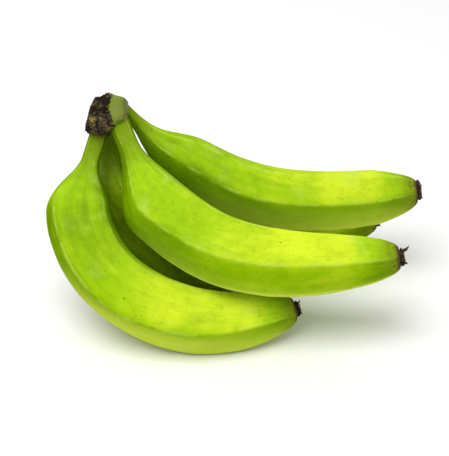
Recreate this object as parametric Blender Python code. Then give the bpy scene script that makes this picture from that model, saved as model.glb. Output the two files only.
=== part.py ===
import math

import bmesh
import bpy
import numpy as np
from mathutils import Vector

# A hand of four green plantains joined at one cut crown.
# It lies on its front and under fingers. Metres, +Z up, the surface is z = 0.

# The hand is centred over the origin by this shift, and sinks this far into the
# surface before its low spots are pressed flat
SHIFT_X = -0.0103
SHIFT_Y = 0.0352
SINK = 0.0014

# Clearance between neighbouring pieces
GAP = 0.00035

# Mesh of a finger: rings along it, and points between two ridges
FINGER_RINGS = 36
POINTS_PER_FACET = 6
# The rings crowd towards both ends by this share, and one more stands between
# the last two, nearer the end by this share of their distance
RING_CROWDING = 0.085
END_RING_SHARE = 0.4
# How boldly the ridges stand out, where 1 would be flat faces with sharp edges
RIDGE_BOLDNESS = 0.55
# How far a stalk reaches into the crown, and the rings of it that a socket needs
STALK_SINK = 0.0050
SOCKET_RINGS = 8
# Steps used to follow a finger's curve from one ring to the next
CURVE_STEPS = 12

# Each finger: the place where its stalk leaves the crown, the headings there and
# at the far end as azimuth and elevation, its length along the curve, its half
# thickness, and the shares of its length or girth that shape it. The taper to its
# end is squarer the larger its power is. Its ridges are angles round it from the
# inside of its bend, and its twist turns them by an angle between two shares of its
# length
FINGERS = {
    "front": {
        "base": (-0.0899, -0.0073, 0.1272),
        "start": (-112.3, -44.4),
        "end": (15.0, 5.1),
        "length": 0.2478,
        "girth": 0.0238,
        "bend_middle": 0.462,
        "bend_spread": 0.146,
        "bend_sway": 0.229,
        "stalk": 0.067,
        "shoulder": 0.154,
        "stalk_girth": 0.298,
        "taper_start": 0.502,
        "taper_power": 2.4,
        "tip_girth": 0.248,
        "slimming": 0.082,
        "hip": 0.101,
        "hip_place": 0.217,
        "ridges": (46.0, 138.0, 206.0, 272.0, 338.0),
        "twist": (-27.0, 0.45, 0.90),
    },
    "middle": {
        "base": (-0.0740, -0.0074, 0.1386),
        "start": (-58.1, -47.0),
        "end": (0.8, 8.0),
        "length": 0.2442,
        "girth": 0.0245,
        "bend_middle": 0.425,
        "bend_spread": 0.236,
        "bend_sway": 0.0,
        "stalk": 0.067,
        "shoulder": 0.216,
        "stalk_girth": 0.302,
        "taper_start": 0.480,
        "taper_power": 2.0,
        "tip_girth": 0.245,
        "slimming": 0.0,
        "hip": 0.124,
        "hip_place": 0.250,
        "ridges": (44.0, 120.0, 178.0, 250.0, 322.0),
        "twist": (-26.0, 0.10, 0.70),
    },
    "back": {
        "base": (-0.0718, 0.0154, 0.1374),
        "start": (-12.2, -42.8),
        "end": (3.8, 6.2),
        "length": 0.2340,
        "girth": 0.0227,
        "bend_middle": 0.449,
        "bend_spread": 0.263,
        "bend_sway": -0.042,
        "stalk": 0.026,
        "shoulder": 0.258,
        "stalk_girth": 0.265,
        "taper_start": 0.865,
        "taper_power": 1.2,
        "tip_girth": 0.380,
        "slimming": 0.185,
        "hip": 0.110,
        "hip_place": 0.126,
        "ridges": (36.0, 90.0, 158.0, 228.0, 302.0),
        "twist": (-5.0, 0.10, 0.70),
    },
    "under": {
        "base": (-0.0847, 0.0157, 0.1227),
        "start": (-73.1, -65.2),
        "end": (18.0, 1.8),
        "length": 0.2695,
        "girth": 0.0238,
        "bend_middle": 0.322,
        "bend_spread": 0.178,
        "bend_sway": -0.094,
        "stalk": 0.020,
        "shoulder": 0.235,
        "stalk_girth": 0.350,
        "taper_start": 0.474,
        "taper_power": 1.9,
        "tip_girth": 0.200,
        "slimming": 0.232,
        "hip": 0.170,
        "hip_place": 0.150,
        "ridges": (12.0, 84.0, 156.0, 228.0, 300.0),
        "twist": (0.0, 0.10, 0.70),
    },
}
# The hip, a bulge outside the shoulder, spreads over this share of the length
HIP_SPREAD = 0.075
# The place along a finger where it is thickest
THICKEST = 0.55

# The crown is a lumpy pad, lofted from its cut face back, along a line that
# leans below the horizon by this angle
CROWN_LEAN = 33.0
CROWN_CENTRE = (-0.0840, 0.0069, 0.1365)
# Its outline across that line, starting at its lower left corner
CROWN_OUTLINE = (
    (-0.0140, -0.0104),
    (-0.0128, -0.0132),
    (-0.0026, -0.0153),
    (0.0050, -0.0110),
    (0.0110, -0.0072),
    (0.0145, -0.0040),
    (0.0149, 0.0070),
    (0.0136, 0.0112),
    (0.0058, 0.0132),
    (0.0014, 0.0143),
    (-0.0046, 0.0122),
    (-0.0073, 0.0107),
    (-0.0119, -0.0004),
)
# Sections from the cut face back: place, width share, height share, shift across
# and shift up
CROWN_SECTIONS = (
    (-0.0250, 0.74, 0.78, -0.0004, -0.0004),
    (-0.0232, 0.90, 0.91, 0.0000, 0.0000),
    (-0.0190, 0.97, 0.98, 0.0000, 0.0000),
    (-0.0110, 1.00, 1.00, 0.0000, 0.0000),
    (0.0000, 1.00, 1.00, 0.0000, 0.0000),
    (0.0080, 0.98, 0.96, 0.0000, -0.0004),
    (0.0140, 0.88, 0.86, 0.0000, -0.0014),
    (0.0185, 0.70, 0.70, -0.0004, -0.0022),
    (0.0215, 0.44, 0.46, -0.0008, -0.0028),
)
CROWN_POINTS = 32
# The ragged relief of the crown: waves round it, waves along it per metre, and
# share of its size
CROWN_RELIEF = (
    (3, 40.0, 0.022),
    (5, -95.0, 0.022),
    (8, 150.0, 0.016),
)

# A dried flower end: rings as reach and girth share, and its small spikes as
# angle round the tip, length, and half thickness
TIP_RINGS = (
    (0.0000, 0.94),
    (0.0008, 1.05),
    (0.0018, 1.02),
    (0.0027, 0.84),
    (0.0029, 0.58),
    (0.0023, 0.34),
)
TIP_POINTS = 20
# Its edge is ragged by this share of its girth, in this many waves
TIP_RAGGED = 0.05
TIP_WAVES = 5
TIP_SPIKES = {
    "front": ((20.0, 0.0014, 0.0011), (150.0, 0.0010, 0.0010), (260.0, 0.0008, 0.0010)),
    "middle": ((15.0, 0.0040, 0.0014), (150.0, 0.0014, 0.0012), (250.0, 0.0010, 0.0011)),
    "back": ((40.0, 0.0006, 0.0010), (170.0, 0.0009, 0.0011), (285.0, 0.0006, 0.0010)),
    "under": ((60.0, 0.0014, 0.0011), (180.0, 0.0010, 0.0010), (300.0, 0.0012, 0.0011)),
}
# A spike stands on the end this far along it and out from its middle, as a share
# of the end's girth. Its rings are place, thickness share, and how far it leans
# out as a share of its length
SPIKE_POINTS = 6
SPIKE_ROOT = 0.0015
SPIKE_SEAT = 0.72
SPIKE_RINGS = (
    (0.00, 1.00, 0.00),
    (0.45, 0.90, 0.10),
    (0.78, 0.62, 0.34),
    (1.00, 0.30, 0.58),
)
# A spike's length is counted from the end's widest reach
TIP_REACH = max(reach for reach, _ in TIP_RINGS)

SKIN_COLOUR = (0.30, 0.52, 0.03, 1.0)
CROWN_COLOUR = (0.07, 0.05, 0.035, 1.0)
TIP_COLOUR = (0.09, 0.06, 0.03, 1.0)
SKIN_ROUGHNESS = 0.45
DRY_ROUGHNESS = 0.85


def start_clean():
    for old in list(bpy.data.objects):
        bpy.data.objects.remove(old, do_unlink=True)


def new_collection(name):
    made = bpy.data.collections.new(name)
    bpy.context.scene.collection.children.link(made)
    return made


def new_material(name, colour, roughness):
    made = bpy.data.materials.new(name)
    made.use_nodes = True
    shader = made.node_tree.nodes["Principled BSDF"]
    shader.inputs["Base Color"].default_value = colour
    shader.inputs["Roughness"].default_value = roughness
    made.diffuse_color = colour
    return made


def smooth_step(value):
    value = min(max(value, 0.0), 1.0)
    return value * value * (3.0 - 2.0 * value)


def heading(azimuth, elevation):
    across = math.cos(math.radians(elevation))
    return np.array((
        across * math.cos(math.radians(azimuth)),
        across * math.sin(math.radians(azimuth)),
        math.sin(math.radians(elevation)),
    ))


# The share of its whole bend that a finger has turned through at share t
def bend_share(finger, t):
    def soft_step(place):
        return 0.5 * (1.0 + math.erf(place / math.sqrt(2.0)))

    middle = finger["bend_middle"]
    spread = finger["bend_spread"]
    low = soft_step(-middle / spread)
    high = soft_step((1.0 - middle) / spread)
    share = (soft_step((t - middle) / spread) - low) / (high - low)
    sway = finger["bend_sway"] * math.sin(math.pi * t) ** 2 * math.sin(2.0 * math.pi * t)
    return share + sway


# The direction in which a finger runs at share t
def run_direction(finger, t):
    first = heading(*finger["start"])
    last = heading(*finger["end"])
    whole = math.acos(float(first @ last))
    share = bend_share(finger, t)
    mixed = math.sin((1.0 - share) * whole) * first + math.sin(share * whole) * last
    return mixed / np.linalg.norm(mixed)


def half_thickness(finger, t):
    stalk_girth = finger["stalk_girth"]
    rise = stalk_girth + (1.0 - stalk_girth) * smooth_step((t - finger["stalk"]) / finger["shoulder"])
    past = min(max((t - finger["taper_start"]) / (1.0 - finger["taper_start"]), 0.0), 1.0)
    tip_girth = finger["tip_girth"]
    fall = tip_girth + (1.0 - tip_girth) * math.sqrt(1.0 - past ** finger["taper_power"])
    slim = 1.0 - finger["slimming"] * ((t - THICKEST) / (1.0 - THICKEST)) ** 2
    return finger["girth"] * rise * fall * slim


# The angles of a ring's points, so that each ridge runs along one line of points
def ring_angles(finger):
    ridges = list(finger["ridges"])
    ridges.append(ridges[0] + 360.0)
    angles = []
    for first, last in zip(ridges, ridges[1:]):
        width = last - first
        for step in range(POINTS_PER_FACET):
            share = step / POINTS_PER_FACET
            dip = RIDGE_BOLDNESS * (1.0 - math.cos(math.radians(width / 2.0)))
            across = 1.0 - (2.0 * share - 1.0) ** 2
            angles.append((first + width * share, dip * across))
    middle = sum(dip for _, dip in angles) / len(angles)
    return [(angle, middle - dip) for angle, dip in angles]


# Shares of the length at which the rings stand
def ring_shares():
    shares = []
    for ring in range(FINGER_RINGS):
        even = ring / (FINGER_RINGS - 1)
        shares.append(even - RING_CROWDING * math.sin(2.0 * math.pi * even))
    shares.insert(-1, 1.0 - END_RING_SHARE * (1.0 - shares[-2]))
    return shares


# Rings of points along a finger, grown outwards by a margin, with the centre and
# the directions of the last one
def finger_rings(finger, shares, margin):
    first = heading(*finger["start"])
    last = heading(*finger["end"])
    side = np.cross(first, last)
    side /= np.linalg.norm(side)
    shift = np.array((SHIFT_X, SHIFT_Y, -SINK))
    place = np.array(finger["base"]) + shift
    angles = ring_angles(finger)
    rings = []
    reached = 0.0
    for t in shares:
        step = (t - reached) / CURVE_STEPS
        for _ in range(CURVE_STEPS):
            place = place + run_direction(finger, reached + step / 2.0) * step * finger["length"]
            reached += step
        along = run_direction(finger, t)
        inner = np.cross(side, along)
        bulge = math.exp(-((t - finger["hip_place"]) / HIP_SPREAD) ** 2)
        centre = place - inner * finger["hip"] * finger["girth"] * bulge
        turn, turn_start, turn_end = finger["twist"]
        turn *= smooth_step((t - turn_start) / (turn_end - turn_start))
        radius = half_thickness(finger, t) + margin
        ring = []
        for angle, lift in angles:
            way = math.radians(angle + turn)
            out = inner * math.cos(way) + side * math.sin(way)
            ring.append(centre + out * radius * (1.0 + lift))
        rings.append(ring)
    # The stalk runs straight on into the crown
    back = first * (STALK_SINK + margin)
    rings.insert(0, [point - back for point in rings[0]])
    return rings, (centre, along, inner, side)


def press_flat(rings):
    for ring in rings:
        for point in ring:
            point[2] = max(point[2], 0.0)


def skin_loft(name, rings, material, collection):
    shape = bmesh.new()
    rows = [[shape.verts.new(Vector(point)) for point in ring] for ring in rings]
    count = len(rows[0])
    for low, high in zip(rows, rows[1:]):
        for i in range(count):
            j = (i + 1) % count
            shape.faces.new((low[i], low[j], high[j], high[i]))
    shape.faces.new(rows[0])
    shape.faces.new(rows[-1])
    bmesh.ops.recalc_face_normals(shape, faces=shape.faces)
    mesh = bpy.data.meshes.new(name)
    shape.to_mesh(mesh)
    shape.free()
    mesh.shade_smooth()
    mesh.materials.append(material)
    made = bpy.data.objects.new(name, mesh)
    collection.objects.link(made)
    return made


def combine(target, tool, operation):
    change = target.modifiers.new(operation.lower(), "BOOLEAN")
    change.operation = operation
    change.solver = "EXACT"
    change.object = tool
    bpy.context.view_layer.objects.active = target
    bpy.ops.object.modifier_apply(modifier=change.name)
    bpy.data.objects.remove(tool, do_unlink=True)


# Points spread evenly round a closed smooth curve through the given corners
def smooth_outline(corners, count):
    total = len(corners)
    points = []
    for step in range(count):
        place = step * total / count
        index = int(place)
        t = place - index
        a, b, c, d = (np.array(corners[(index + k) % total]) for k in (-1, 0, 1, 2))
        bend = 2.0 * a - 5.0 * b + 4.0 * c - d
        twist = 3.0 * b - a - 3.0 * c + d
        points.append(0.5 * (2.0 * b + (c - a) * t + bend * t ** 2 + twist * t ** 3))
    return points


def make_crown(material, collection, cutters):
    lean = math.radians(CROWN_LEAN)
    across = np.array((1.0, 0.0, 0.0))
    up = np.array((0.0, math.sin(lean), math.cos(lean)))
    back = np.array((0.0, math.cos(lean), -math.sin(lean)))
    middle = np.array(CROWN_CENTRE) + np.array((SHIFT_X, SHIFT_Y, -SINK))
    outline = smooth_outline(CROWN_OUTLINE, CROWN_POINTS)
    rings = []
    for depth, wide, high, over, rise in CROWN_SECTIONS:
        ring = []
        for x, y in outline:
            round_angle = math.atan2(y, x)
            relief = 1.0
            for waves, along, share in CROWN_RELIEF:
                relief += share * math.sin(waves * round_angle + along * depth)
            spot = middle + across * (x * wide * relief + over)
            ring.append(spot + up * (y * high * relief + rise) + back * depth)
        rings.append(ring)
    crown = skin_loft("crown", rings, material, collection)
    for key, finger in FINGERS.items():
        socket_rings, _ = finger_rings(finger, ring_shares()[:SOCKET_RINGS], GAP)
        cutter = skin_loft("socket_" + key, socket_rings, material, cutters)
        cutter.hide_render = True
        cutter.display_type = "WIRE"
        combine(crown, cutter, "DIFFERENCE")


def make_tip(key, finger, end, material, collection):
    centre, along, inner, side = end
    girth = half_thickness(finger, 1.0)
    start = centre + along * GAP
    rings = []
    for order, (reach, share) in enumerate(TIP_RINGS):
        ring = []
        for i in range(TIP_POINTS):
            angle = 2.0 * math.pi * i / TIP_POINTS
            ragged = 1.0 + TIP_RAGGED * math.sin(TIP_WAVES * angle + order) * min(order, 1)
            out = inner * math.cos(angle) + side * math.sin(angle)
            ring.append(start + along * reach + out * girth * share * ragged)
        rings.append(ring)
    tip = skin_loft("tip_" + key, rings, material, collection)
    for angle, length, thick in TIP_SPIKES[key]:
        out = inner * math.cos(math.radians(angle)) + side * math.sin(math.radians(angle))
        beside = np.cross(along, out)
        root = start + out * girth * SPIKE_SEAT + along * SPIKE_ROOT
        reach = TIP_REACH - SPIKE_ROOT + length
        spike_rings = []
        for share, size, lean in SPIKE_RINGS:
            middle = root + along * reach * share + out * reach * lean
            ring = []
            for i in range(SPIKE_POINTS):
                way = 2.0 * math.pi * (i + 0.5) / SPIKE_POINTS
                ring.append(middle + (out * math.cos(way) + beside * math.sin(way)) * thick * size)
            spike_rings.append(ring)
        spike = skin_loft("spike", spike_rings, material, collection)
        combine(tip, spike, "UNION")


def make_hand():
    start_clean()
    hand = new_collection("plantain")
    cutters = new_collection("cutters")
    skin = new_material("plantain_skin", SKIN_COLOUR, SKIN_ROUGHNESS)
    bark = new_material("plantain_crown", CROWN_COLOUR, DRY_ROUGHNESS)
    dried = new_material("plantain_tip", TIP_COLOUR, DRY_ROUGHNESS)
    for key, finger in FINGERS.items():
        rings, end = finger_rings(finger, ring_shares(), 0.0)
        press_flat(rings)
        skin_loft("finger_" + key, rings, skin, hand)
        make_tip(key, finger, end, dried, hand)
    make_crown(bark, hand, cutters)


make_hand()
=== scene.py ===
import math

import bmesh
import bpy
import numpy as np
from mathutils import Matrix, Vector


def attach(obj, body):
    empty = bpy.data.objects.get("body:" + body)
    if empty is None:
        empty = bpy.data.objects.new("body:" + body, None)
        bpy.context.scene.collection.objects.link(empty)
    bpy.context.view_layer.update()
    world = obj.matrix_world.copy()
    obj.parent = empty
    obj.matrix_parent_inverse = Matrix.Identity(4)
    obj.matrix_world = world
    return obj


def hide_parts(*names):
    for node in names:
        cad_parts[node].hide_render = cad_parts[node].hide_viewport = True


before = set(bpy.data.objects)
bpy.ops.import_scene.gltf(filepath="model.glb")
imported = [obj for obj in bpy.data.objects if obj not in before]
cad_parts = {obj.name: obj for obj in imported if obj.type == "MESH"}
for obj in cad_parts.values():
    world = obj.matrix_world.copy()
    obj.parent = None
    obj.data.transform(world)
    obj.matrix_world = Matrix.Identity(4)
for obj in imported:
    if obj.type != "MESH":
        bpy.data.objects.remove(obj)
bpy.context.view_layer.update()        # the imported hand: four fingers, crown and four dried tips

print("frame loaded with", len(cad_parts), "nodes")

# the hand is placed by the same shift as its solids, and sinks in before it is pressed flat
handPlace = {"shiftX": -0.0103, "shiftY": 0.0352, "sink": 0.0014}
handShift = np.array((handPlace["shiftX"], handPlace["shiftY"], -handPlace["sink"]))


# Node trees

# a socket that takes part in sums, such as 1 - mask or colour * 0.5
class Wire:
    def __init__(self, board, socket):
        self.board = board
        self.socket = socket

    def sum(self, operation, first, second):
        return self.board.sum(operation, first, second)

    def __add__(self, other):
        return self.sum("ADD", self, other)

    def __radd__(self, other):
        return self.sum("ADD", other, self)

    def __sub__(self, other):
        return self.sum("SUBTRACT", self, other)

    def __rsub__(self, other):
        return self.sum("SUBTRACT", other, self)

    def __mul__(self, other):
        return self.sum("MULTIPLY", self, other)

    def __rmul__(self, other):
        return self.sum("MULTIPLY", other, self)

    def __truediv__(self, other):
        return self.sum("DIVIDE", self, other)

    def highest(self, other):
        return self.sum("MAXIMUM", self, other)

    # 0 below low, 1 above high, smooth between
    def step(self, low, high):
        return self.board.wire(
            "ShaderNodeMapRange",
            {"interpolation_type": "SMOOTHSTEP"},
            {0: self, 1: low, 2: high, 3: 0.0, 4: 1.0},
        )


# a node tree that nodes are put on
class Board:
    def __init__(self, tree):
        self.tree = tree

    # any node: its settings are set first, then the values or wires of its sockets
    def node(self, kind, settings=None, inputs=None):
        made = self.tree.nodes.new(kind)
        for name, value in (settings or {}).items():
            setattr(made, name, value)
        for key, value in (inputs or {}).items():
            if isinstance(value, Wire):
                self.tree.links.new(value.socket, made.inputs[key])
            else:
                made.inputs[key].default_value = value
        return made

    def wire(self, kind, settings=None, inputs=None, out=0):
        return Wire(self, self.node(kind, settings, inputs).outputs[out])

    def noise(self, vector, scale, detail, roughness=0.5):
        inputs = {"Vector": vector, "Scale": scale, "Detail": detail, "Roughness": roughness}
        return self.wire("ShaderNodeTexNoise", None, inputs)

    # the sockets 6 and 7 of a Mix node are its two colours, and its third result is theirs
    def mixed(self, factor, first, second):
        inputs = {0: factor, 6: first, 7: second}
        return self.wire("ShaderNodeMix", {"data_type": "RGBA"}, inputs, out=2)

    def sum(self, operation, *values):
        return self.wire("ShaderNodeMath", {"operation": operation}, dict(enumerate(values)))

    def scaled(self, vector, amount):
        return self.wire("ShaderNodeVectorMath", {"operation": "SCALE"}, {0: vector, "Scale": amount})

    def added(self, first, second):
        return self.wire("ShaderNodeVectorMath", {"operation": "ADD"}, {0: first, 1: second})

    def joined(self, x, y, z):
        return self.wire("ShaderNodeCombineXYZ", None, {0: x, 1: y, 2: z})

    def parted(self, vector):
        made = self.node("ShaderNodeSeparateXYZ", None, {0: vector})
        return [Wire(self, made.outputs[axis]) for axis in range(3)]


# a geometry tree with named inputs, as a board and its input wires by name
def startGeometry(name, sockets):
    tree = bpy.data.node_groups.new(name, "GeometryNodeTree")
    tree.interface.new_socket("Geometry", in_out="INPUT", socket_type="NodeSocketGeometry")
    for label, kind in sockets.items():
        tree.interface.new_socket(label, in_out="INPUT", socket_type="NodeSocket" + kind)
    tree.interface.new_socket("Geometry", in_out="OUTPUT", socket_type="NodeSocketGeometry")
    board = Board(tree)
    entry = board.node("NodeGroupInput")
    return board, {label: Wire(board, entry.outputs[label]) for label in ["Geometry", *sockets]}


def endGeometry(board, geometry, material):
    plain = board.wire("GeometryNodeRealizeInstances", None, {"Geometry": geometry})
    dressed = board.wire("GeometryNodeSetMaterial", None, {"Geometry": plain, "Material": material})
    board.node("NodeGroupOutput", None, {0: dressed})
    return board.tree


# runs a geometry tree on a piece and keeps the result as its plain mesh
def runTree(piece, tree, values):
    change = piece.modifiers.new(tree.name, "NODES")
    change.node_group = tree
    for socket in tree.interface.items_tree:
        if socket.in_out == "INPUT" and socket.name in values:
            change[socket.identifier] = values[socket.name]
    graph = bpy.context.evaluated_depsgraph_get()
    plain = bpy.data.meshes.new_from_object(
        piece.evaluated_get(graph), preserve_all_data_layers=True, depsgraph=graph
    )
    piece.modifiers.remove(change)
    piece.data = plain
    plain.name = piece.name
    plain.shade_smooth()


def startMaterial(name):
    material = bpy.data.materials.new(name)
    material.use_nodes = True
    board = Board(material.node_tree)
    shader = material.node_tree.nodes["Principled BSDF"]
    return material, board, shader


def plug(board, shader, name, wire):
    board.tree.links.new(wire.socket, shader.inputs[name])


# relief that is only shaded, from a height and the two bump settings of a look
def plugBump(board, shader, look, height):
    settings = {"Strength": look["bumpStrength"], "Distance": look["bumpDistance"], "Height": height}
    plug(board, shader, "Normal", board.wire("ShaderNodeBump", None, settings))


def objectPlace(board):
    return board.wire("ShaderNodeTexCoord", None, None, out=3)


def attribute(board, name):
    return board.wire("ShaderNodeAttribute", {"attribute_name": name}, None, out=2)


# Peel

peelLooks = {
    "deep": (0.128, 0.255, 0.001, 1.0),
    "fresh": (0.315, 0.540, 0.003, 1.0),
    "sunny": (0.620, 0.760, 0.020, 1.0),
    # the pale colour of the waxy bloom, also used for the painted sheen
    "bloomAndSheen": (0.500, 0.690, 0.140, 1.0),
    # the pale colour of the painted bounce light on the undersides
    "paintedBounce": (0.640, 0.740, 0.080, 1.0),
    "olive": (0.155, 0.235, 0.005, 1.0),
    # the pale colour of the crests, partly wear and partly a painted highlight
    "crestWearAndHighlight": (0.540, 0.670, 0.090, 1.0),
    "seam": (0.160, 0.180, 0.020, 1.0),
    "speck": (0.045, 0.070, 0.006, 1.0),
    "tipOlive": (0.180, 0.235, 0.010, 1.0),
    "tipBrown": (0.090, 0.060, 0.025, 1.0),
    "rootBrown": (0.130, 0.075, 0.030, 1.0),
    # scale, detail and roughness of each noise
    "patchNoise": (26.0, 3.0, 0.55), "mottleNoise": (190.0, 3.0, 0.65), "dustNoise": (44.2, 5.0, 0.65),
    "wornNoise": (75.0, 4.0, 0.7), "scarNoise": (48.0, 4.0, 0.7), "frayNoise": (210.0, 4.0, 0.65),
    "blotchNoise": (320.0, 3.0, 0.6), "fineNoise": (900.0, 3.0, 0.6),
    # scale along the finger, scale across it and detail of each noise that is drawn out
    "cloudNoise": (34.0, 90.0, 4.0), "streakNoise": (11.0, 150.0, 5.0),
    "drawnLength": 0.245, "drawnGirth": 0.024, "drawnDrift": 9.0, "drawnRoughness": 0.6,
    # where each look starts and where it is full: a share of the length, how far the peel
    # faces up, or the height of a noise
    "ripening": (0.13, 0.80), "greenEnd": (0.84, 0.95),
    "freshLit": (0.0, 0.55), "sunnyLit": (0.48, 1.02),
    "sunnyCloud": (0.50, 0.70), "deepCloud": (0.50, 0.72),
    "deepMottle": (0.50, 0.68), "sunnyMottle": (0.52, 0.70),
    "neckEnd": (0.03, 0.17), "paintedShadeEnd": (0.05, 0.60),
    "paintedBounceEnd": (-0.60, 0.05), "paintedBounceStart": (0.18, 0.45),
    "dust": (0.52, 0.78), "sheenFacing": (0.2, 0.9),
    "crestRidge": (0.55, 0.98), "worn": (0.36, 0.62),
    "seamRidge": (0.86, 0.99), "scar": (0.60, 0.72),
    "oliveStart": (0.925, 0.985), "blotchStart": (0.955, 0.99), "blotch": (0.52, 0.66),
    "brownStart": (0.985, 0.998), "rootEnd": (0.002, 0.014),
    # how much each look counts
    # the facing share is painted light from above: it lightens the peel where it faces up
    "ripeLit": 0.58, "paintedTopLight": 0.31, "plainLit": 0.05, "patchLit": 0.8, "streakLit": 0.55,
    "greenEndShare": 0.80, "ripeCloudShare": 0.35, "cloudShare": 0.12, "deepCloudShare": 0.25,
    "deepMottleShare": 0.15, "sunnyMottleShare": 0.12, "neckShare": 0.75, "neckWander": 0.06,
    "paintedShadeShare": 0.44, "paintedBounceShare": 0.75, "dustShare": 0.45, "paintedHazeShare": 0.05,
    "crestShare": 0.45, "seamShare": 0.65, "oliveShare": 0.75, "blotchShare": 0.8,
    "rootShare": 0.5, "fray": 0.05, "brownFray": 0.4, "rootFray": 0.3,
    # cell scale, reach and soft edge of the specks, the share of cells without one, and strength
    "specks": (520.0, 0.27, 0.10, 0.90, 0.5), "blots": (176.8, 0.16, 0.07, 0.94, 0.65),
    "pickEdge": 0.03,
    "roughness": 0.50, "cloudRoughness": 0.22, "dustRoughness": 0.10, "specular": 0.0,
    "fineRelief": 0.35, "streakRelief": 0.9, "cloudRelief": 0.8, "speckRelief": 1.2, "crestRelief": 0.5,
    "bumpStrength": 0.35, "bumpDistance": 0.0006,
}

# painted shade for the under finger, which lies in the others' shade: a darker copy of the peel, whose
# underside gets no painted bounce light
paintedShadeLooks = dict(peelLooks, deep=(0.100, 0.165, 0.001, 1.0), paintedBounce=(0.085, 0.105, 0.002, 1.0))


def makePeel(name, look):
    material, board, shader = startMaterial(name)
    place = objectPlace(board)
    ridge = attribute(board, "ridge")
    along = attribute(board, "along")
    turn = attribute(board, "around") * (math.pi / 180.0)
    facing = board.parted(board.wire("ShaderNodeNewGeometry", None, None, out=1))[2]
    east, north = board.sum("COSINE", turn), board.sum("SINE", turn)

    # a noise that is drawn out along the finger, on the peel laid out straight
    def drawnNoise(lengthways, crossways, detail):
        wide = crossways * look["drawnGirth"]
        straight = board.joined(along * (lengthways * look["drawnLength"]), east * wide, north * wide)
        spot = board.added(straight, board.scaled(place, look["drawnDrift"]))
        return board.noise(spot, 1.0, detail, look["drawnRoughness"])

    # round dark specks in some of the cells
    def specks(scale, reach, edge, bare, strength):
        cells = {"Vector": place, "Scale": scale, "Randomness": 1.0}
        gap = board.wire("ShaderNodeTexVoronoi", None, cells)
        pick = board.parted(board.wire("ShaderNodeTexVoronoi", None, cells, out=1))[0]
        return (reach - gap).step(0.0, edge) * (pick - bare).step(0.0, look["pickEdge"]) * strength

    # patches of fresher and sunnier peel, lighter where it looks up as painted light from above, and
    # green before its end
    patch = board.noise(place, *look["patchNoise"])
    cloud = drawnNoise(*look["cloudNoise"])
    streak = drawnNoise(*look["streakNoise"])
    ripe = along.step(*look["ripening"]) * (1.0 - along.step(*look["greenEnd"]) * look["greenEndShare"])
    toneAndPaintedLight = ripe * look["ripeLit"] + facing * look["paintedTopLight"] + look["plainLit"]
    toneAndPaintedLight = toneAndPaintedLight + (patch - 0.5) * look["patchLit"] + (streak - 0.5) * look["streakLit"]
    colour = board.mixed(toneAndPaintedLight.step(*look["freshLit"]), look["deep"], look["fresh"])
    colour = board.mixed(toneAndPaintedLight.step(*look["sunnyLit"]), colour, look["sunny"])
    sunnyCloud = cloud.step(*look["sunnyCloud"]) * (ripe * look["ripeCloudShare"] + look["cloudShare"])
    colour = board.mixed(sunnyCloud, colour, look["sunny"])
    deepCloud = (1.0 - cloud).step(*look["deepCloud"]) * look["deepCloudShare"]
    colour = board.mixed(deepCloud, colour, look["deep"])
    mottle = board.noise(place, *look["mottleNoise"])
    deepMottle = mottle.step(*look["deepMottle"]) * look["deepMottleShare"]
    colour = board.mixed(deepMottle, colour, look["deep"])
    sunnyMottle = (1.0 - mottle).step(*look["sunnyMottle"]) * look["sunnyMottleShare"]
    colour = board.mixed(sunnyMottle, colour, look["sunny"])
    neck = 1.0 - (along + (cloud - 0.5) * look["neckWander"]).step(*look["neckEnd"])
    colour = board.mixed(neck * look["neckShare"], colour, look["olive"])

    # painted shade: the facets that look down are darker green
    paintedShade = 1.0 - facing.step(*look["paintedShadeEnd"])
    colour = board.mixed(paintedShade * look["paintedShadeShare"], colour, look["deep"])
    # painted bounce light: the undersides are paler, as if lit by the white floor
    paintedBounce = (1.0 - facing.step(*look["paintedBounceEnd"])) * along.step(*look["paintedBounceStart"])
    colour = board.mixed(paintedBounce * look["paintedBounceShare"], colour, look["paintedBounce"])

    # waxy bloom in faint patches, with a painted sheen: it is laid only where the peel faces up, with a
    # faint painted haze under it
    dust = board.noise(place, *look["dustNoise"]).step(*look["dust"])
    bloomAndSheen = (dust * look["dustShare"] + look["paintedHazeShare"]) * facing.step(*look["sheenFacing"])
    colour = board.mixed(bloomAndSheen, colour, look["bloomAndSheen"])
    # pale crests along the ridges, partly worn and partly a painted highlight, with a darker seam beside
    # some
    crestWearAndHighlight = ridge.step(*look["crestRidge"]) * board.noise(place, *look["wornNoise"]).step(*look["worn"])
    colour = board.mixed(crestWearAndHighlight * look["crestShare"], colour, look["crestWearAndHighlight"])
    scar = board.noise(place, *look["scarNoise"]).step(*look["scar"])
    seam = ridge.step(*look["seamRidge"]) * scar * look["seamShare"]
    colour = board.mixed(seam, colour, look["seam"])
    marks = specks(*look["specks"]).highest(specks(*look["blots"]))
    colour = board.mixed(marks, colour, look["speck"])

    # the far end turns olive, then brown at the scar, and the stalk browns at the crown
    fray = (board.noise(place, *look["frayNoise"]) - 0.5) * look["fray"]
    olive = (along + fray).step(*look["oliveStart"]) * look["oliveShare"]
    colour = board.mixed(olive, colour, look["tipOlive"])
    blotch = board.noise(place, *look["blotchNoise"]).step(*look["blotch"])
    blotch = (along + fray).step(*look["blotchStart"]) * blotch * look["blotchShare"]
    colour = board.mixed(blotch, colour, look["tipBrown"])
    brown = (along + fray * look["brownFray"]).step(*look["brownStart"])
    colour = board.mixed(brown, colour, look["tipBrown"])
    root = 1.0 - (along + fray * look["rootFray"]).step(*look["rootEnd"])
    colour = board.mixed(root * look["rootShare"], colour, look["rootBrown"])
    plug(board, shader, "Base Color", colour)

    rough = look["roughness"] + (cloud - 0.5) * look["cloudRoughness"] + dust * look["dustRoughness"]
    plug(board, shader, "Roughness", rough)
    shader.inputs["Specular IOR Level"].default_value = look["specular"]

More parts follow.
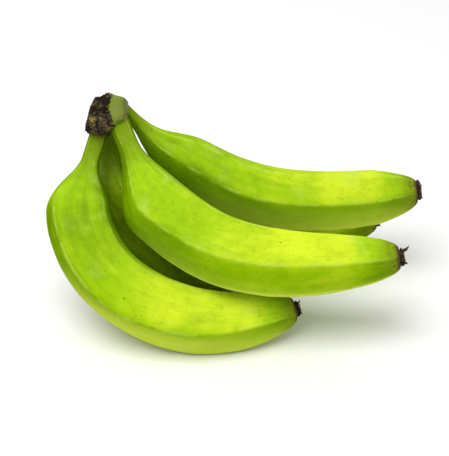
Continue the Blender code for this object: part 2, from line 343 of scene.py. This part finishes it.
    relief = board.noise(place, *look["fineNoise"]) * look["fineRelief"] + streak * look["streakRelief"]
    relief = relief + cloud * look["cloudRelief"] + crestWearAndHighlight * look["crestRelief"]
    relief = relief - marks * look["speckRelief"]
    plugBump(board, shader, look, relief)
    return material


# Dry tissue, of the crown's cut and of the flower ends

dryLooks = {
    "black": (0.010, 0.007, 0.006, 1.0),
    "brown": (0.085, 0.058, 0.030, 1.0),
    "plum": (0.085, 0.055, 0.045, 1.0),
    "tan": (0.250, 0.205, 0.058, 1.0),
    "rind": (0.150, 0.225, 0.012, 1.0),
    "rindGrey": (0.190, 0.220, 0.050, 1.0),
    "rust": (0.150, 0.075, 0.012, 1.0),
    # scale, detail and roughness of each noise, and how much the fibres are drawn out
    "lumpNoise": (150.0, 4.0, 0.65), "fibreNoise": (420.0, 5.0, 0.7), "plumNoise": (95.0, 2.0, 0.5),
    "tanNoise": (120.0, 5.0, 0.7), "fibreStretch": (1.0, 0.35, 2.6),
    # where each look starts and where it is full, and how much it counts
    "brownLump": (0.40, 0.62), "plumLump": (0.50, 0.62), "plumShare": 0.6,
    "tanStart": 0.58, "tanFull": 0.70, "tanShare": 0.85, "tanFibre": 0.5,
    "crack": (0.04, 0.16), "crackShare": 0.8, "foldShare": 0.92,
    "greyLump": (0.35, 0.65), "rustShare": 0.5, "edge": (0.25, 0.9), "edgeShare": 0.6,
    "roughness": 0.82, "rindGloss": 0.25, "fibreRoughness": 0.1, "specular": 0.08,
    "rindRelief": 0.25, "dryRelief": 0.75, "lumpRelief": 0.6,
    "bumpStrength": 0.7, "bumpDistance": 0.0009,
}


# dry tissue where the attribute dry is 1, and green rind where it is 0
def makeDry(name, look, moreTan, fineness):
    material, board, shader = startMaterial(name)
    place = objectPlace(board)
    dry = attribute(board, "dry")

    # a noise that is finer on the small dried ends than on the crown
    def finer(vector, scale, detail, roughness):
        return board.noise(vector, scale * fineness, detail, roughness)

    lump = finer(place, *look["lumpNoise"])
    stretched = board.wire("ShaderNodeMapping", None, {"Vector": place, "Scale": look["fibreStretch"]})
    fibre = finer(stretched, *look["fibreNoise"])
    colour = board.mixed(lump.step(*look["brownLump"]), look["black"], look["brown"])
    plum = finer(place, *look["plumNoise"]).step(*look["plumLump"])
    colour = board.mixed(plum * look["plumShare"], colour, look["plum"])
    tan = finer(place, *look["tanNoise"]) + (fibre - 0.5) * look["tanFibre"]
    tan = tan.step(look["tanStart"] - moreTan, look["tanFull"] - moreTan)
    colour = board.mixed(tan * look["tanShare"], colour, look["tan"])
    crack = (0.5 - fibre).step(*look["crack"])
    colour = board.mixed(crack * look["crackShare"], colour, look["black"])
    colour = board.mixed(attribute(board, "fold") * look["foldShare"], colour, look["black"])

    rind = board.mixed(lump.step(*look["greyLump"]), look["rind"], look["rindGrey"])
    rind = board.mixed(attribute(board, "seam") * look["rustShare"], rind, look["rust"])
    edge = (dry * (1.0 - dry) * 4.0).step(*look["edge"])
    colour = board.mixed(1.0 - dry, colour, rind)
    colour = board.mixed(edge * look["edgeShare"], colour, look["black"])
    plug(board, shader, "Base Color", colour)
    rough = look["roughness"] - (1.0 - dry) * look["rindGloss"] + (fibre - 0.5) * look["fibreRoughness"]
    plug(board, shader, "Roughness", rough)
    shader.inputs["Specular IOR Level"].default_value = look["specular"]
    relief = fibre * (look["rindRelief"] + dry * look["dryRelief"]) + lump * look["lumpRelief"]
    plugBump(board, shader, look, relief)
    return material


# Fingers

# the place where each stalk leaves the crown, the headings there and at the far end, the
# length along the curve, the half thickness, and the shares that shape it. The ridges are the
# angles round the finger at which they stand, the twist is by how many degrees they turn and
# between which shares, and each prong has its angle, length and half thickness
fingers = {
    "front": {
        "base": (-0.0899, -0.0073, 0.1272), "start": (-112.3, -44.4), "end": (15.0, 5.1),
        "length": 0.2478, "girth": 0.0238,
        "bendMiddle": 0.462, "bendSpread": 0.146, "bendSway": 0.229,
        "stalk": 0.067, "shoulder": 0.154, "stalkGirth": 0.298,
        "taperStart": 0.502, "taperPower": 2.4, "tipGirth": 0.248, "slimming": 0.082,
        "hip": 0.101, "hipPlace": 0.217,
        "ridges": (46.0, 138.0, 206.0, 272.0, 338.0), "twist": (-27.0, 0.45, 0.90),
        "prongs": ((20.0, 0.0014, 0.0011), (150.0, 0.0010, 0.0010), (260.0, 0.0008, 0.0010)),
    },
    "middle": {
        "base": (-0.0740, -0.0074, 0.1386), "start": (-58.1, -47.0), "end": (0.8, 8.0),
        "length": 0.2442, "girth": 0.0245,
        "bendMiddle": 0.425, "bendSpread": 0.236, "bendSway": 0.0,
        "stalk": 0.067, "shoulder": 0.216, "stalkGirth": 0.302,
        "taperStart": 0.480, "taperPower": 2.0, "tipGirth": 0.245, "slimming": 0.0,
        "hip": 0.124, "hipPlace": 0.250,
        "ridges": (44.0, 120.0, 178.0, 250.0, 322.0), "twist": (-26.0, 0.10, 0.70),
        "prongs": ((15.0, 0.0040, 0.0014), (150.0, 0.0014, 0.0012), (250.0, 0.0010, 0.0011)),
    },
    "back": {
        "base": (-0.0718, 0.0154, 0.1374), "start": (-12.2, -42.8), "end": (3.8, 6.2),
        "length": 0.2340, "girth": 0.0227,
        "bendMiddle": 0.449, "bendSpread": 0.263, "bendSway": -0.042,
        "stalk": 0.026, "shoulder": 0.258, "stalkGirth": 0.265,
        "taperStart": 0.865, "taperPower": 1.2, "tipGirth": 0.380, "slimming": 0.185,
        "hip": 0.110, "hipPlace": 0.126,
        "ridges": (36.0, 90.0, 158.0, 228.0, 302.0), "twist": (-5.0, 0.10, 0.70),
        "prongs": ((40.0, 0.0006, 0.0010), (170.0, 0.0009, 0.0011), (285.0, 0.0006, 0.0010)),
    },
    "under": {
        "base": (-0.0847, 0.0157, 0.1227), "start": (-73.1, -65.2), "end": (18.0, 1.8),
        "length": 0.2695, "girth": 0.0238,
        "bendMiddle": 0.322, "bendSpread": 0.178, "bendSway": -0.094,
        "stalk": 0.020, "shoulder": 0.235, "stalkGirth": 0.350,
        "taperStart": 0.474, "taperPower": 1.9, "tipGirth": 0.200, "slimming": 0.232,
        "hip": 0.170, "hipPlace": 0.150,
        "ridges": (12.0, 84.0, 156.0, 228.0, 300.0), "twist": (0.0, 0.10, 0.70),
        "prongs": ((60.0, 0.0014, 0.0011), (180.0, 0.0010, 0.0010), (300.0, 0.0012, 0.0011)),
    },
}
fingerMesh = {
    "rings": 250, "points": 120, "endRings": 7, "crowding": 0.085, "curveSteps": 3000,
    "hipSpread": 0.075, "thickest": 0.55, "stalkSink": 0.0050,
}
ridgeSettings = {
    "Boldness": 0.55, "Evenness": 0.648, "Crest Softness": 0.035, "Crest Narrowness": 0.03,
    "Wobble": 2.6, "Wobble Scale": 22.0, "Dent Scale": 34.0, "Dent Depth": 0.00055,
    "Grain Scale": 420.0, "Grain Depth": 0.00008,
}
ridgeForm = {"count": 5, "seedShear": 0.37, "bodyStart": (0.02, 0.14), "bodyEnd": (0.90, 0.99)}


def smoothStep(value):
    value = np.clip(value, 0.0, 1.0)
    return value * value * (3.0 - 2.0 * value)


def heading(azimuth, elevation):
    azimuth, elevation = math.radians(azimuth), math.radians(elevation)
    across = math.cos(elevation)
    return np.array((across * math.cos(azimuth), across * math.sin(azimuth), math.sin(elevation)))


# the unit directions of a finger at the shares t, which bend about its middle
def runDirections(finger, t):
    softStep = np.vectorize(lambda place: 0.5 * (1.0 + math.erf(place / math.sqrt(2.0))))
    middle, spread = finger["bendMiddle"], finger["bendSpread"]
    low, high = softStep(-middle / spread), softStep((1.0 - middle) / spread)
    share = (softStep((t - middle) / spread) - low) / (high - low)
    share += finger["bendSway"] * np.sin(np.pi * t) ** 2 * np.sin(2.0 * np.pi * t)
    first, last = heading(*finger["start"]), heading(*finger["end"])
    whole = math.acos(float(first @ last))
    mixed = np.outer(np.sin((1.0 - share) * whole), first) + np.outer(np.sin(share * whole), last)
    return mixed / np.linalg.norm(mixed, axis=1)[:, None]


def halfThickness(finger, t):
    stalk, tip = finger["stalkGirth"], finger["tipGirth"]
    rise = stalk + (1.0 - stalk) * smoothStep((t - finger["stalk"]) / finger["shoulder"])
    past = np.clip((t - finger["taperStart"]) / (1.0 - finger["taperStart"]), 0.0, 1.0)
    fall = tip + (1.0 - tip) * np.sqrt(1.0 - past ** finger["taperPower"])
    thickest = fingerMesh["thickest"]
    slim = 1.0 - finger["slimming"] * ((t - thickest) / (1.0 - thickest)) ** 2
    return finger["girth"] * rise * fall * slim


# centres, directions and half thickness of a finger at the shares t
def spineOf(finger, t):
    fine = np.linspace(0.0, 1.0, fingerMesh["curveSteps"] + 1)
    middles = (fine[1:] + fine[:-1]) / 2.0
    steps = runDirections(finger, middles) * finger["length"] / fingerMesh["curveSteps"]
    path = np.array(finger["base"]) + handShift + np.vstack(([0.0, 0.0, 0.0], np.cumsum(steps, axis=0)))
    centre = np.column_stack([np.interp(t, fine, path[:, axis]) for axis in range(3)])
    side = np.cross(heading(*finger["start"]), heading(*finger["end"]))
    side /= np.linalg.norm(side)
    along = runDirections(finger, t)
    inner = np.cross(side, along)
    bulge = np.exp(-((t - finger["hipPlace"]) / fingerMesh["hipSpread"]) ** 2)
    centre = centre - inner * (finger["hip"] * finger["girth"] * bulge)[:, None]
    return centre, along, inner, side, halfThickness(finger, t)


def floatAttribute(mesh, name, values):
    made = mesh.attributes.new(name, "FLOAT", "POINT")
    made.data.foreach_set("value", np.asarray(values, np.float32))


# a closed loft through rings of points, with its two ends closed round a middle point
def loft(name, rings):
    rings = np.asarray(rings)
    ringCount, count, _ = rings.shape
    shape = bmesh.new()
    rows = [[shape.verts.new(point) for point in ring] for ring in rings]
    for low, high in zip(rows, rows[1:]):
        for i in range(count):
            j = (i + 1) % count
            shape.faces.new((low[i], low[j], high[j], high[i]))
    ends = [shape.verts.new(rings[0].mean(axis=0)), shape.verts.new(rings[-1].mean(axis=0))]
    for i in range(count):
        j = (i + 1) % count
        shape.faces.new((rows[0][j], rows[0][i], ends[0]))
        shape.faces.new((rows[-1][i], rows[-1][j], ends[1]))
    bmesh.ops.recalc_face_normals(shape, faces=shape.faces)
    mesh = bpy.data.meshes.new(name)
    shape.to_mesh(mesh)
    shape.free()
    piece = bpy.data.objects.new(name, mesh)
    bpy.context.scene.collection.objects.link(piece)
    return piece


# a round tube along a finger, which knows for each point how far along and around it is
def fingerTube(name, finger):
    even = np.linspace(0.0, 1.0, fingerMesh["rings"])
    t = even - fingerMesh["crowding"] * np.sin(2.0 * np.pi * even)
    lastGap = 1.0 - t[-2]
    endRings = fingerMesh["endRings"]
    extra = 1.0 - lastGap * (np.arange(endRings, 0, -1) / (endRings + 1)) ** 2
    t = np.concatenate((t[:-1], extra, [1.0]))
    centre, along, inner, side, radius = spineOf(finger, t)
    turn, turnStart, turnEnd = finger["twist"]
    turns = turn * smoothStep((t - turnStart) / (turnEnd - turnStart))
    angles = np.arange(fingerMesh["points"]) * 360.0 / fingerMesh["points"]
    way = np.radians(angles[None, :] + turns[:, None])
    out = inner[:, None, :] * np.cos(way)[..., None] + side[None, None, :] * np.sin(way)[..., None]
    rings = centre[:, None, :] + out * radius[:, None, None]
    back = heading(*finger["start"]) * fingerMesh["stalkSink"]
    rings = np.concatenate(([rings[0] - back], rings))
    t = np.concatenate(([0.0], t))
    out = np.concatenate(([out[0]], out))
    radius = np.concatenate(([radius[0]], radius))

    piece = loft(name, rings)
    mesh = piece.data
    count = fingerMesh["points"]
    ends = np.zeros(2)
    floatAttribute(mesh, "along", np.concatenate((np.repeat(t, count), [0.0, 1.0])))
    floatAttribute(mesh, "around", np.concatenate((np.tile(angles, len(t)), ends)))
    floatAttribute(mesh, "girth", np.concatenate((np.repeat(radius, count), ends)))
    outward = mesh.attributes.new("outward", "FLOAT_VECTOR", "POINT")
    flat = np.vstack((out.reshape(-1, 3), np.zeros((2, 3))))
    outward.data.foreach_set("vector", flat.astype(np.float32).ravel())
    return piece


# the tree that raises five ridges on a tube, dents it, and presses its low spots flat
def ridgeTree(material):
    count = ridgeForm["count"]
    sockets = {"Ridge %d" % (k + 1): "Float" for k in range(count)}
    sockets.update({name: "Float" for name in ridgeSettings})
    sockets["Seed"] = "Float"
    board, given = startGeometry("peelRidges", sockets)

    def named(name, kind="FLOAT"):
        return board.wire("GeometryNodeInputNamedAttribute", {"data_type": kind}, {"Name": name})

    place = board.wire("GeometryNodeInputPosition")
    sideways = given["Seed"] * ridgeForm["seedShear"]
    seeded = board.added(place, board.joined(given["Seed"], sideways, 0.0))
    wander = (board.noise(seeded, given["Wobble Scale"], 1.0) - 0.5) * given["Wobble"] * 2.0
    around = named("around") + wander
    start = given["Ridge 1"]
    turned = board.sum("FLOORED_MODULO", around - start, 360.0)

    # between two ridges the peel dips most in the middle, as a chord does under its arc
    dip, near, meanDip = 0.0, 0.0, 0.0
    soft = given["Crest Softness"]
    for k in range(count):
        first = given["Ridge %d" % (k + 1)] - start
        last = given["Ridge %d" % (k + 2)] - start if k + 1 < count else 360.0
        width = last - first
        share = (turned - first) / width
        inside = board.sum("COMPARE", share, 0.5, 0.5)
        toRidge = 0.5 - board.sum("ABSOLUTE", share - 0.5)
        eased = board.sum("SQRT", toRidge * toRidge + soft * soft) - soft
        depth = given["Boldness"] * (1.0 - board.sum("COSINE", width * (math.pi / 360.0)))
        dip = dip + inside * depth * 4.0 * eased * (1.0 - eased)
        meanDip = meanDip + depth * (1.0 / count)
        degrees = toRidge * width
        closeness = board.sum("EXPONENT", degrees * degrees * given["Crest Narrowness"] * -1.0)
        near = near + inside * closeness
    lift = meanDip * given["Evenness"] - dip

    along = named("along")
    body = along.step(*ridgeForm["bodyStart"]) * (1.0 - along.step(*ridgeForm["bodyEnd"]))
    dents = (board.noise(seeded, given["Dent Scale"], 2.0) - 0.5) * 2.0 * given["Dent Depth"]
    grain = (board.noise(seeded, given["Grain Scale"], 2.0) - 0.5) * 2.0 * given["Grain Depth"]
    reach = named("girth") * lift + (dents + grain) * body
    moved = board.wire("GeometryNodeSetPosition", None, {
        "Geometry": given["Geometry"], "Offset": board.scaled(named("outward", "FLOAT_VECTOR"), reach),
    })
    x, y, z = board.parted(place)
    pressed = board.wire("GeometryNodeSetPosition", None, {
        "Geometry": moved, "Position": board.joined(x, y, z.highest(0.0)),
    })
    marked = board.wire("GeometryNodeStoreNamedAttribute", {"data_type": "FLOAT", "domain": "POINT"}, {
        "Geometry": pressed, "Name": "ridge", "Value": near,
    })
    return endGeometry(board, marked, material)


# Dried ends

tipShape = {
    # how far out each ring stands, and its width as a share of the finger's end
    "rings": (
        (0.0, 0.94), (0.0008, 1.05), (0.0018, 1.02), (0.0027, 0.84), (0.0029, 0.58), (0.0023, 0.34),
    ),
    "gap": 0.00035, "points": 84, "fineRings": 26, "ragged": 0.05, "waves": 5,
    "prongRoot": 0.0015, "prongSeat": 0.72, "prongPoints": 14, "prongRings": 16,
    # shares of a prong's length, of its thickness and of its outward lean
    "prongProfile": ((0.0, 1.0, 0.0), (0.45, 0.9, 0.10), (0.78, 0.62, 0.34), (1.0, 0.3, 0.58)),
}
fraySettings = {
    "Density": 60000.0, "Fibre Length": 0.0014, "Fibre Thickness": 0.00016,
    "Lump Scale": 420.0, "Lump Depth": 0.00045, "Fold Scale": 330.0,
}

# the loose fibres of dry tissue, and its lumps and winding folds, on the ends and the crown alike
fibreForm = {
    "vertices": 5, "segments": 3, "topShare": 0.25, "leanLow": (-1.35, -1.35, -3.14),
    "leanHigh": (1.35, 1.35, 3.14), "leanSeed": 4, "sizes": (0.4, 1.4), "sizeSeed": 9,
    "dryStart": (0.6, 0.9),
}
foldForm = {
    "detail": 1.5, "distortion": 0.9, "width": 0.055, "depth": 1.3,
    "lumpDetail": 3.0, "lumpRoughness": 0.6, "rindShare": 0.10,
}


# a smooth curve through rows of values, read at a number of places
def smoothRows(rows, places):
    rows = np.asarray(rows, float)
    padded = np.vstack((2.0 * rows[0] - rows[1], rows, 2.0 * rows[-1] - rows[-2]))
    made = []
    for place in places:
        index = min(int(place), len(rows) - 2)
        t = place - index
        a, b, c, d = padded[index:index + 4]
        bend = 2.0 * a - 5.0 * b + 4.0 * c - d
        twist = 3.0 * b - a - 3.0 * c + d
        made.append(0.5 * (2.0 * b + (c - a) * t + bend * t ** 2 + twist * t ** 3))
    return np.array(made)


def roundWay(count):
    return np.arange(count) * 2.0 * np.pi / count


def tipParts(name, finger):
    centre, along, inner, side, girth = spineOf(finger, np.array([1.0]))
    centre, along, inner, girth = centre[0], along[0], inner[0], girth[0]
    start = centre + along * tipShape["gap"]
    places = np.linspace(0.0, len(tipShape["rings"]) - 1.0, tipShape["fineRings"])
    way = roundWay(tipShape["points"])
    out = np.outer(np.cos(way), inner) + np.outer(np.sin(way), side)
    rings = []
    for place, (reach, share) in zip(places, smoothRows(tipShape["rings"], places)):
        ragged = 1.0 + tipShape["ragged"] * np.sin(tipShape["waves"] * way + place) * min(place, 1.0)
        rings.append(start + along * reach + out * (girth * share * ragged)[:, None])
    pieces = [loft(name, rings)]
    for angle, length, thick in finger["prongs"]:
        lean = math.radians(angle)
        outward = inner * math.cos(lean) + side * math.sin(lean)
        beside = np.cross(along, outward)
        root = start + outward * girth * tipShape["prongSeat"] + along * tipShape["prongRoot"]
        reach = max(r for r, _ in tipShape["rings"]) - tipShape["prongRoot"] + length
        way = roundWay(tipShape["prongPoints"])
        ring = np.outer(np.cos(way), outward) + np.outer(np.sin(way), beside)
        places = np.linspace(0.0, len(tipShape["prongProfile"]) - 1.0, tipShape["prongRings"])
        prong = []
        for share, size, tilt in smoothRows(tipShape["prongProfile"], places):
            middle = root + along * reach * share + outward * reach * tilt
            prong.append(middle + ring * thick * size)
        pieces.append(loft(name + "_prong", prong))
    return pieces


# joins pieces into the first one, as one object
def joinAll(pieces):
    shape = bmesh.new()
    for piece in pieces:
        shape.from_mesh(piece.data)
    shape.to_mesh(pieces[0].data)
    shape.free()
    for spare in pieces[1:]:
        bpy.data.objects.remove(spare, do_unlink=True)
    return pieces[0]


# the tree that roughens dry tissue and lets short fibres fray from it
def frayTree(name, material):
    sockets = {label: "Float" for label in fraySettings}
    sockets["Seed"] = "Int"
    board, given = startGeometry(name, sockets)
    place = board.wire("GeometryNodeInputPosition")
    normal = board.wire("GeometryNodeInputNormal")
    dry = board.wire("GeometryNodeInputNamedAttribute", {"data_type": "FLOAT"}, {"Name": "dry"})
    form = foldForm
    coarse = board.noise(place, given["Lump Scale"], form["lumpDetail"], form["lumpRoughness"]) - 0.5
    winding = board.wire("ShaderNodeTexNoise", None, {
        "Vector": place, "Scale": given["Fold Scale"], "Detail": form["detail"], "Roughness": 0.5,
        "Distortion": form["distortion"],
    })
    fold = 1.0 - board.sum("ABSOLUTE", winding - 0.5).step(0.0, form["width"])
    height = (coarse * 2.0 - fold * form["depth"]) * given["Lump Depth"]
    height = height * (form["rindShare"] + dry * (1.0 - form["rindShare"]))
    folded = board.wire("GeometryNodeStoreNamedAttribute", {"data_type": "FLOAT", "domain": "POINT"}, {
        "Geometry": given["Geometry"], "Name": "fold", "Value": fold,
    })
    rough = board.wire("GeometryNodeSetPosition", None, {
        "Geometry": folded, "Offset": board.scaled(normal, height),
    })
    scatter = board.node("GeometryNodeDistributePointsOnFaces", None, {
        "Mesh": rough, "Seed": given["Seed"],
        "Density": given["Density"] * dry.step(*fibreForm["dryStart"]),
    })
    fibre = board.wire("GeometryNodeMeshCone", None, {
        "Vertices": fibreForm["vertices"], "Side Segments": fibreForm["segments"],
        "Radius Top": given["Fibre Thickness"] * fibreForm["topShare"],
        "Radius Bottom": given["Fibre Thickness"], "Depth": given["Fibre Length"],
    })
    lean = board.wire("FunctionNodeRandomValue", {"data_type": "FLOAT_VECTOR"}, {
        0: fibreForm["leanLow"], 1: fibreForm["leanHigh"], "Seed": fibreForm["leanSeed"],
    })
    turned = board.wire("FunctionNodeRotateRotation", {"rotation_space": "LOCAL"}, {
        "Rotation": Wire(board, scatter.outputs["Rotation"]), "Rotate By": lean,
    })
    small, large = fibreForm["sizes"]
    size = board.wire("FunctionNodeRandomValue", {"data_type": "FLOAT"}, {
        2: small, 3: large, "Seed": fibreForm["sizeSeed"],
    }, out=1)
    fibres = board.wire("GeometryNodeInstanceOnPoints", None, {
        "Points": Wire(board, scatter.outputs["Points"]), "Instance": fibre,
        "Rotation": turned, "Scale": board.joined(1.0, 1.0, size),
    })
    plainFibres = board.wire("GeometryNodeRealizeInstances", None, {"Geometry": fibres})
    dryFibres = board.wire("GeometryNodeStoreNamedAttribute", {"data_type": "FLOAT", "domain": "POINT"}, {
        "Geometry": plainFibres, "Name": "dry", "Value": 1.0,
    })
    both = board.node("GeometryNodeJoinGeometry")
    for part in (dryFibres, rough):
        board.tree.links.new(part.socket, both.inputs[0])
    return endGeometry(board, Wire(board, both.outputs[0]), material)


# Crown

crownShape = {
    "lean": 33.0, "centre": (-0.0840, 0.0069, 0.1365),
    "outline": (
        (-0.0140, -0.0104), (-0.0128, -0.0132), (-0.0026, -0.0153), (0.0050, -0.0110),
        (0.0110, -0.0072), (0.0145, -0.0040), (0.0149, 0.0070), (0.0136, 0.0112),
        (0.0058, 0.0132), (0.0014, 0.0143), (-0.0046, 0.0122), (-0.0073, 0.0107),
        (-0.0119, -0.0004),
    ),
    # place, width share, height share, shift across and shift up
    "sections": (
        (-0.0250, 0.74, 0.78, -0.0004, -0.0004), (-0.0232, 0.90, 0.91, 0.0, 0.0),
        (-0.0190, 0.97, 0.98, 0.0, 0.0), (-0.0110, 1.00, 1.00, 0.0, 0.0),
        (0.0, 1.00, 1.00, 0.0, 0.0), (0.0080, 0.98, 0.96, 0.0, -0.0004),
        (0.0140, 0.88, 0.86, 0.0, -0.0014), (0.0185, 0.70, 0.70, -0.0004, -0.0022),
        (0.0215, 0.44, 0.46, -0.0008, -0.0028),
    ),
    # waves round the crown, how they turn along it, and their share of its width
    "relief": ((3, 40.0, 0.022), (5, -95.0, 0.022), (8, 150.0, 0.016)),
    "points": 180, "fineRings": 110, "capRings": 26, "capStart": 0.02, "seed": 11,
    # the dry cut reaches this far across at this height, further above and below it by
    # this slope, with waves in its edge. The rest is green rind, with a rusty seam low down
    # across it and a rusty rim at its far side
    "dryEdge": 0.0029, "dryHeight": 0.0036, "drySlope": 0.32, "dryFray": 0.0004, "dryBlur": 0.0007,
    "frayWaves": ((1900.0, 0.0, 1.0), (4100.0, 1.0, 0.6)),
    "seam": ((0.0051, -0.0055), (0.0124, -0.0024)), "seamWidth": 0.00045, "seamLead": 0.002,
    "rimPlace": 0.0145, "rimWidth": 0.0006,
}
crownFray = {
    "Density": 16000.0, "Fibre Length": 0.0022, "Fibre Thickness": 0.00022,
    "Lump Scale": 240.0, "Lump Depth": 0.00085, "Fold Scale": 105.0,
}


def makeCrown(material):
    lean = math.radians(crownShape["lean"])
    across = np.array((1.0, 0.0, 0.0))
    up = np.array((0.0, math.sin(lean), math.cos(lean)))
    back = np.array((0.0, math.cos(lean), -math.sin(lean)))
    middle = np.array(crownShape["centre"]) + handShift
    corners = np.array(crownShape["outline"])
    wrapped = np.vstack((corners[-1:], corners, corners[:2]))
    places = 1.0 + np.arange(crownShape["points"]) * len(corners) / crownShape["points"]
    outline = smoothRows(wrapped, places)
    roundAngle = np.arctan2(outline[:, 1], outline[:, 0])
    depths = np.linspace(0.0, len(crownShape["sections"]) - 1.0, crownShape["fineRings"])
    sections = smoothRows(crownShape["sections"], depths)

    def ring(depth, wide, high, over, rise, shrink):
        relief = np.ones(len(outline))
        for waves, alongWaves, share in crownShape["relief"]:
            relief += share * np.sin(waves * roundAngle + alongWaves * depth)
        x = outline[:, 0] * wide * relief * shrink + over
        y = outline[:, 1] * high * relief * shrink + rise
        return middle + np.outer(x, across) + np.outer(y, up) + back * depth

    shrinks = np.linspace(crownShape["capStart"], 1.0, crownShape["capRings"], endpoint=False)
    rings = [ring(*sections[0], shrink) for shrink in shrinks]
    rings += [ring(*section, 1.0) for section in sections]
    rings += [ring(*sections[-1], shrink) for shrink in shrinks[::-1]]
    crown = loft("crown_body", rings)

    # the dry cut is on the left as seen with the hand on its side
    spots = np.zeros(len(crown.data.vertices) * 3)
    crown.data.vertices.foreach_get("co", spots)
    spots = spots.reshape(-1, 3) - middle
    wide, high = spots[:, 0], spots @ up
    waves = [share * np.sin(high * wave + shift) for wave, shift, share in crownShape["frayWaves"]]
    sway = crownShape["dryFray"] * sum(waves)
    edge = crownShape["dryEdge"] + crownShape["drySlope"] * np.abs(high - crownShape["dryHeight"])
    dryness = (edge - wide + sway) / crownShape["dryBlur"] + 0.5
    floatAttribute(crown.data, "dry", np.clip(dryness, 0.0, 1.0))
    (seamX, seamY), (endX, endY) = crownShape["seam"]
    line = seamY + (wide - seamX) * (endY - seamY) / (endX - seamX)
    seam = np.exp(-((high - line + sway) / crownShape["seamWidth"]) ** 2)
    seam = seam * (wide > seamX - crownShape["seamLead"])
    rim = np.exp(-((wide - crownShape["rimPlace"]) / crownShape["rimWidth"]) ** 2) * (high > endY)
    floatAttribute(crown.data, "seam", np.maximum(seam, rim))
    runTree(crown, frayTree("crownFray", material), dict(crownFray, Seed=crownShape["seed"]))
    return crown


# Making the hand

# how much more of the dry tissue is tan, and how much finer it is
tissues = {"crown": (0.06, 1.0), "ends": (0.02, 1.8)}
seeds = {"peelStep": 0.71, "firstEnd": 3}


def dress(piece, node):
    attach(piece, "root")
    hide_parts(node)


def makeHand():
    ridges = ridgeTree(makePeel("peel", peelLooks))
    # the darker copy of the peel for the under finger is painted shade
    paintedShadeRidges = ridgeTree(makePeel("paintedShadePeel", paintedShadeLooks))
    fray = frayTree("endFray", makeDry("driedEnd", dryLooks, *tissues["ends"]))
    for order, (key, finger) in enumerate(fingers.items()):
        piece = fingerTube("peel_" + key, finger)
        values = dict(ridgeSettings, Seed=order * seeds["peelStep"])
        for k, angle in enumerate(finger["ridges"]):
            values["Ridge %d" % (k + 1)] = angle
        runTree(piece, paintedShadeRidges if key == "under" else ridges, values)
        dress(piece, "finger_" + key)
        print("finger", key, "made with", len(piece.data.polygons), "faces")

        end = joinAll(tipParts("dried_" + key, finger))
        floatAttribute(end.data, "dry", np.ones(len(end.data.vertices)))
        runTree(end, fray, dict(fraySettings, Seed=order + seeds["firstEnd"]))
        dress(end, "tip_" + key)
    print("dried ends made")
    dress(makeCrown(makeDry("crownTissue", dryLooks, *tissues["crown"])), "crown")
    print("crown made")


# Room

room = {
    "floorSize": 12.0, "floorColour": (0.93, 0.93, 0.925, 1.0), "floorRoughness": 0.85,
    "floorNoise": (6.0, 2.0), "floorWander": 0.05, "floorSpecular": 0.1,
    "skyColour": (1.0, 1.0, 1.0, 1.0), "skyStrength": 0.56,
    "lamps": {
        # place, size and power of each soft lamp
        "front": ((-0.28, -0.42, 1.18), 1.00, 12.0),
        "behind": ((0.10, 1.10, 1.10), 1.00, 3.5),
    },
    "target": (-0.0103, 0.0352, 0.0436), "distance": 1.150, "elevation": 33.0,
    "focalPixels": 1550.0, "longSide": 456.0, "sensor": 36.0,
}


def makeRoom(look):
    half = look["floorSize"] / 2.0
    mesh = bpy.data.meshes.new("floor")
    corners = [(-half, -half, 0.0), (half, -half, 0.0), (half, half, 0.0), (-half, half, 0.0)]
    mesh.from_pydata(corners, [], [(0, 1, 2, 3)])
    floor = bpy.data.objects.new("floor", mesh)
    bpy.context.scene.collection.objects.link(floor)
    material, board, shader = startMaterial("paleFloor")
    faint = board.noise(objectPlace(board), *look["floorNoise"])
    plug(board, shader, "Roughness", look["floorRoughness"] + (faint - 0.5) * look["floorWander"])
    shader.inputs["Base Color"].default_value = look["floorColour"]
    shader.inputs["Specular IOR Level"].default_value = look["floorSpecular"]
    mesh.materials.append(material)

    world = bpy.data.worlds.new("sky")
    world.use_nodes = True
    sky = world.node_tree.nodes["Background"]
    sky.inputs["Color"].default_value = look["skyColour"]
    sky.inputs["Strength"].default_value = look["skyStrength"]
    bpy.context.scene.world = world

    target = Vector(look["target"])
    for name, (place, size, power) in look["lamps"].items():
        lamp = bpy.data.lights.new(name, "AREA")
        lamp.shape = "DISK"
        lamp.size = size
        lamp.energy = power
        holder = bpy.data.objects.new(name, lamp)
        holder.location = place
        holder.rotation_euler = (target - Vector(place)).to_track_quat("-Z", "Y").to_euler()
        bpy.context.scene.collection.objects.link(holder)

    camera = bpy.data.cameras.new("camera")
    camera.sensor_width = look["sensor"]
    camera.lens = look["focalPixels"] / look["longSide"] * look["sensor"]
    holder = bpy.data.objects.new("camera", camera)
    elevation = math.radians(look["elevation"])
    away = Vector((0.0, -math.cos(elevation), math.sin(elevation)))
    holder.location = target + away * look["distance"]
    holder.rotation_euler = (-away).to_track_quat("-Z", "Y").to_euler()
    bpy.context.scene.collection.objects.link(holder)
    bpy.context.scene.camera = holder
    bpy.context.scene.view_settings.view_transform = "Standard"
    print("room, lamps and camera made")


makeHand()
makeRoom(room)
